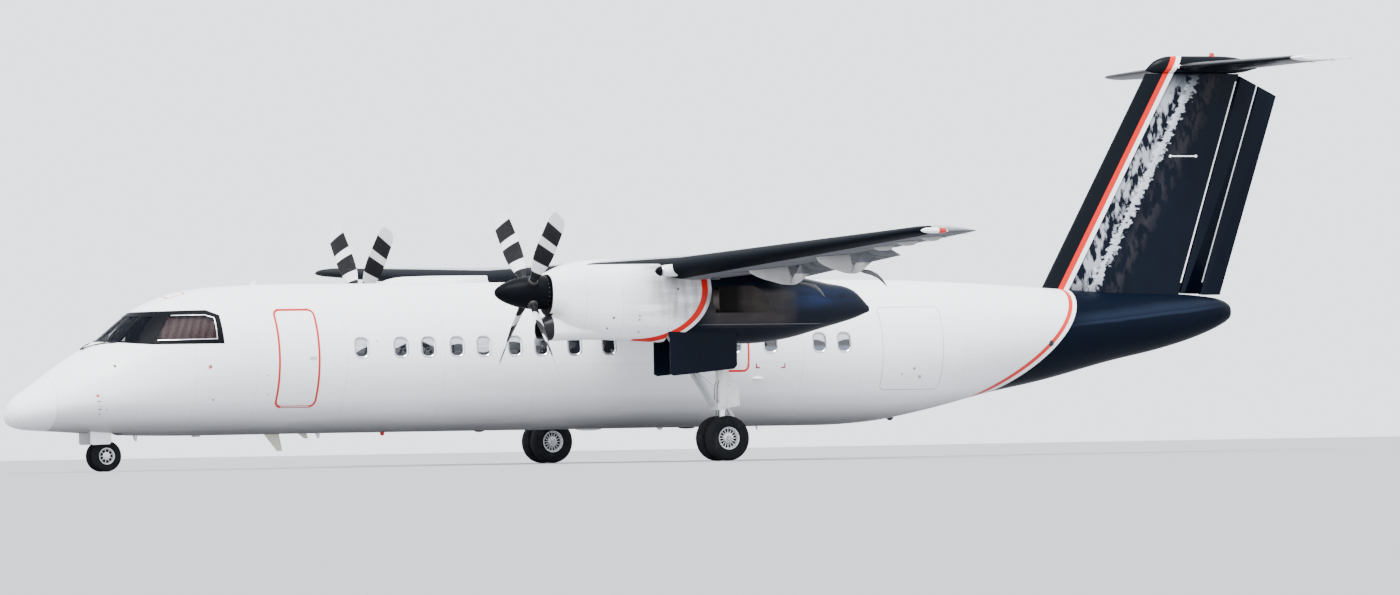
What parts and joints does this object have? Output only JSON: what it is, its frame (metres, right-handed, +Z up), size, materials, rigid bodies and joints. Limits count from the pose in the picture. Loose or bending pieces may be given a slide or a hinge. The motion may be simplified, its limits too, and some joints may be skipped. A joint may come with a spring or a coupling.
{
  "type": "turboprop airliner",
  "caption": "High-wing turboprop airliner with a T tail, on its wheels, with turning propellers, flaps, ailerons, elevators, rudder, wheels, nose steering and airstair door.",
  "frame": {"origin": "centre of the footprint of the whole aircraft, on the ground it stands on", "axes": "+X towards the nose, +Y to port, +Z up"},
  "size_m": [25.6661, 27.426, 7.485],
  "materials": {
    "white_paint": "gloss",
    "navy_paint": "gloss",
    "grey_paint": "satin",
    "propeller_black": "satin",
    "tyre_rubber": "matte",
    "nose_wheel": "matte",
    "wheel_metal": "satin",
    "window_glass": "gloss",
    "engine_metal": "matte",
    "seat_fabric": "matte",
    "panel_plastic": "matte",
    "gear_paint": "satin",
    "strut_metal": "satin"
  },
  "bodies": {
    "airframe": {"baggage_door": "white_paint", "centre_fuselage": "white_paint", "drag_strut_left": "strut_metal", "drag_strut_right": "strut_metal", "engine_left": "engine_metal", "engine_right": "engine_metal", "fin": "navy_paint", "forward_fuselage": "white_paint", "inner_gear_door_left": "navy_paint", "inner_gear_door_right": "navy_paint", "instrument_panel": "panel_plastic", "main_leg_left": "gear_paint", "main_leg_right": "gear_paint", "nacelle_left": "navy_paint", "nacelle_right": "navy_paint", "nose_gear_door_left": "white_paint", "nose_gear_door_right": "white_paint", "nose_leg": "gear_paint", "outer_gear_door_left": "navy_paint", "outer_gear_door_right": "navy_paint", "pilot_seat_left": "seat_fabric", "pilot_seat_right": "seat_fabric", "radome": "white_paint", "rear_fuselage": "white_paint", "side_window_left": "window_glass", "side_window_right": "window_glass", "tail_cone": "navy_paint", "tailplane": "navy_paint", "windscreen_left": "window_glass", "windscreen_right": "window_glass", "wing_centre": "grey_paint", "wing_fairing": "white_paint", "wing_left": "grey_paint", "wing_right": "grey_paint"},
    "propeller_left": {"propeller_left": "propeller_black", "spinner_left": "propeller_black"},
    "propeller_right": {"propeller_right": "propeller_black", "spinner_right": "propeller_black"},
    "main_wheels_left": {"main_tyre_inner_left": "tyre_rubber", "main_tyre_outer_left": "tyre_rubber", "main_wheel_inner_left": "wheel_metal", "main_wheel_outer_left": "wheel_metal"},
    "main_wheels_right": {"main_tyre_inner_right": "tyre_rubber", "main_tyre_outer_right": "tyre_rubber", "main_wheel_inner_right": "wheel_metal", "main_wheel_outer_right": "wheel_metal"},
    "nose_steering": {"nose_steer": "gear_paint"},
    "nose_wheels": {"nose_wheel_left": "nose_wheel", "nose_wheel_right": "nose_wheel"},
    "airstair_door": {"airstair_door": "white_paint"},
    "inner_flap_left": {"inner_flap_left": "grey_paint"},
    "inner_flap_right": {"inner_flap_right": "grey_paint"},
    "outer_flap_left": {"outer_flap_left": "grey_paint"},
    "outer_flap_right": {"outer_flap_right": "grey_paint"},
    "aileron_left": {"aileron_left": "grey_paint"},
    "aileron_right": {"aileron_right": "grey_paint"},
    "elevator_left": {"elevator_left": "navy_paint"},
    "elevator_right": {"elevator_right": "navy_paint"},
    "rudder_fore": {"rudder_fore": "navy_paint"},
    "rudder_trailing": {"rudder_trailing": "navy_paint"}
  },
  "joints": [
    {"name": "propeller_left_spin", "type": "hinge", "parent": "airframe", "child": "propeller_left", "pos_m": [4.42, 3.94, 3.04], "axis": [1, 0, 0], "continuous": true},
    {"name": "main_wheels_left_roll", "type": "hinge", "parent": "airframe", "child": "main_wheels_left", "pos_m": [0.69, 3.94, 0.403], "axis": [0, 1, 0], "continuous": true},
    {"name": "propeller_right_spin", "type": "hinge", "parent": "airframe", "child": "propeller_right", "pos_m": [4.42, -3.94, 3.04], "axis": [1, 0, 0], "continuous": true},
    {"name": "main_wheels_right_roll", "type": "hinge", "parent": "airframe", "child": "main_wheels_right", "pos_m": [0.69, -3.94, 0.403], "axis": [0, 1, 0], "continuous": true},
    {"name": "nose_steer_turn", "type": "hinge", "parent": "airframe", "child": "nose_steering", "pos_m": [11, 0, 0.5], "axis": [0, 0, 1], "range_deg": [-60, 60]},
    {"name": "nose_wheels_roll", "type": "hinge", "parent": "nose_steering", "child": "nose_wheels", "pos_m": [11, 0, 0.2776], "axis": [0, 1, 0], "continuous": true},
    {"name": "airstair_door_swing", "type": "hinge", "parent": "airframe", "child": "airstair_door", "pos_m": [7.75, 1.038, 1.1], "axis": [-1, 0, 0], "range_deg": [0, 120]},
    {"name": "inner_flap_left_lower", "type": "hinge", "parent": "airframe", "child": "inner_flap_left", "pos_m": [0.2168, 2.2, 3.07], "axis": [0, -1, 0], "range_deg": [-15, 20]},
    {"name": "inner_flap_right_lower", "type": "hinge", "parent": "airframe", "child": "inner_flap_right", "pos_m": [0.2168, -2.2, 3.07], "axis": [0, -1, 0], "range_deg": [-15, 20]},
    {"name": "outer_flap_left_lower", "type": "hinge", "parent": "airframe", "child": "outer_flap_left", "pos_m": [0.22459, 4.56, 3.07697], "axis": [-0.0486, -0.9979, -0.0435], "range_deg": [-15, 20]},
    {"name": "outer_flap_right_lower", "type": "hinge", "parent": "airframe", "child": "outer_flap_right", "pos_m": [0.22459, -4.56, 3.07697], "axis": [0.0486, -0.9979, 0.0435], "range_deg": [-15, 20]},
    {"name": "aileron_left_tilt", "type": "hinge", "parent": "airframe", "child": "aileron_left", "pos_m": [0.3471, 9.9, 3.6856], "axis": [-0.0596, -0.9974, -0.0416], "range_deg": [-20, 20]},
    {"name": "aileron_right_tilt", "type": "hinge", "parent": "airframe", "child": "aileron_right", "pos_m": [0.3471, -9.9, 3.6856], "axis": [0.0596, -0.9974, 0.0416], "range_deg": [-20, 20]},
    {"name": "elevator_left_tilt", "type": "hinge", "parent": "airframe", "child": "elevator_left", "pos_m": [-11.7961, 0.17, 7.268], "axis": [0.0314, -0.9995, 0], "range_deg": [-25, 20]},
    {"name": "elevator_right_tilt", "type": "hinge", "parent": "airframe", "child": "elevator_right", "pos_m": [-11.7961, -0.17, 7.268], "axis": [-0.0314, -0.9995, 0], "range_deg": [-25, 20]},
    {"name": "rudder_fore_turn", "type": "hinge", "parent": "airframe", "child": "rudder_fore", "pos_m": [-10.7335, 0, 3.035], "axis": [-0.3091, 0, 0.951], "range_deg": [-18, 18]},
    {"name": "rudder_trailing_turn", "type": "hinge", "parent": "rudder_fore", "child": "rudder_trailing", "pos_m": [-11.164, 0, 3.035], "axis": [-0.3159, 0, 0.9488], "range_deg": [-18, 18]}
  ],
  "couplings": [
    {"joint": "inner_flap_right_lower", "follows": "inner_flap_left_lower", "ratio": 1},
    {"joint": "outer_flap_left_lower", "follows": "inner_flap_left_lower", "ratio": 1},
    {"joint": "outer_flap_right_lower", "follows": "inner_flap_left_lower", "ratio": 1},
    {"joint": "aileron_right_tilt", "follows": "aileron_left_tilt", "ratio": -1},
    {"joint": "elevator_right_tilt", "follows": "elevator_left_tilt", "ratio": 1},
    {"joint": "rudder_trailing_turn", "follows": "rudder_fore_turn", "ratio": 1}
  ]
}
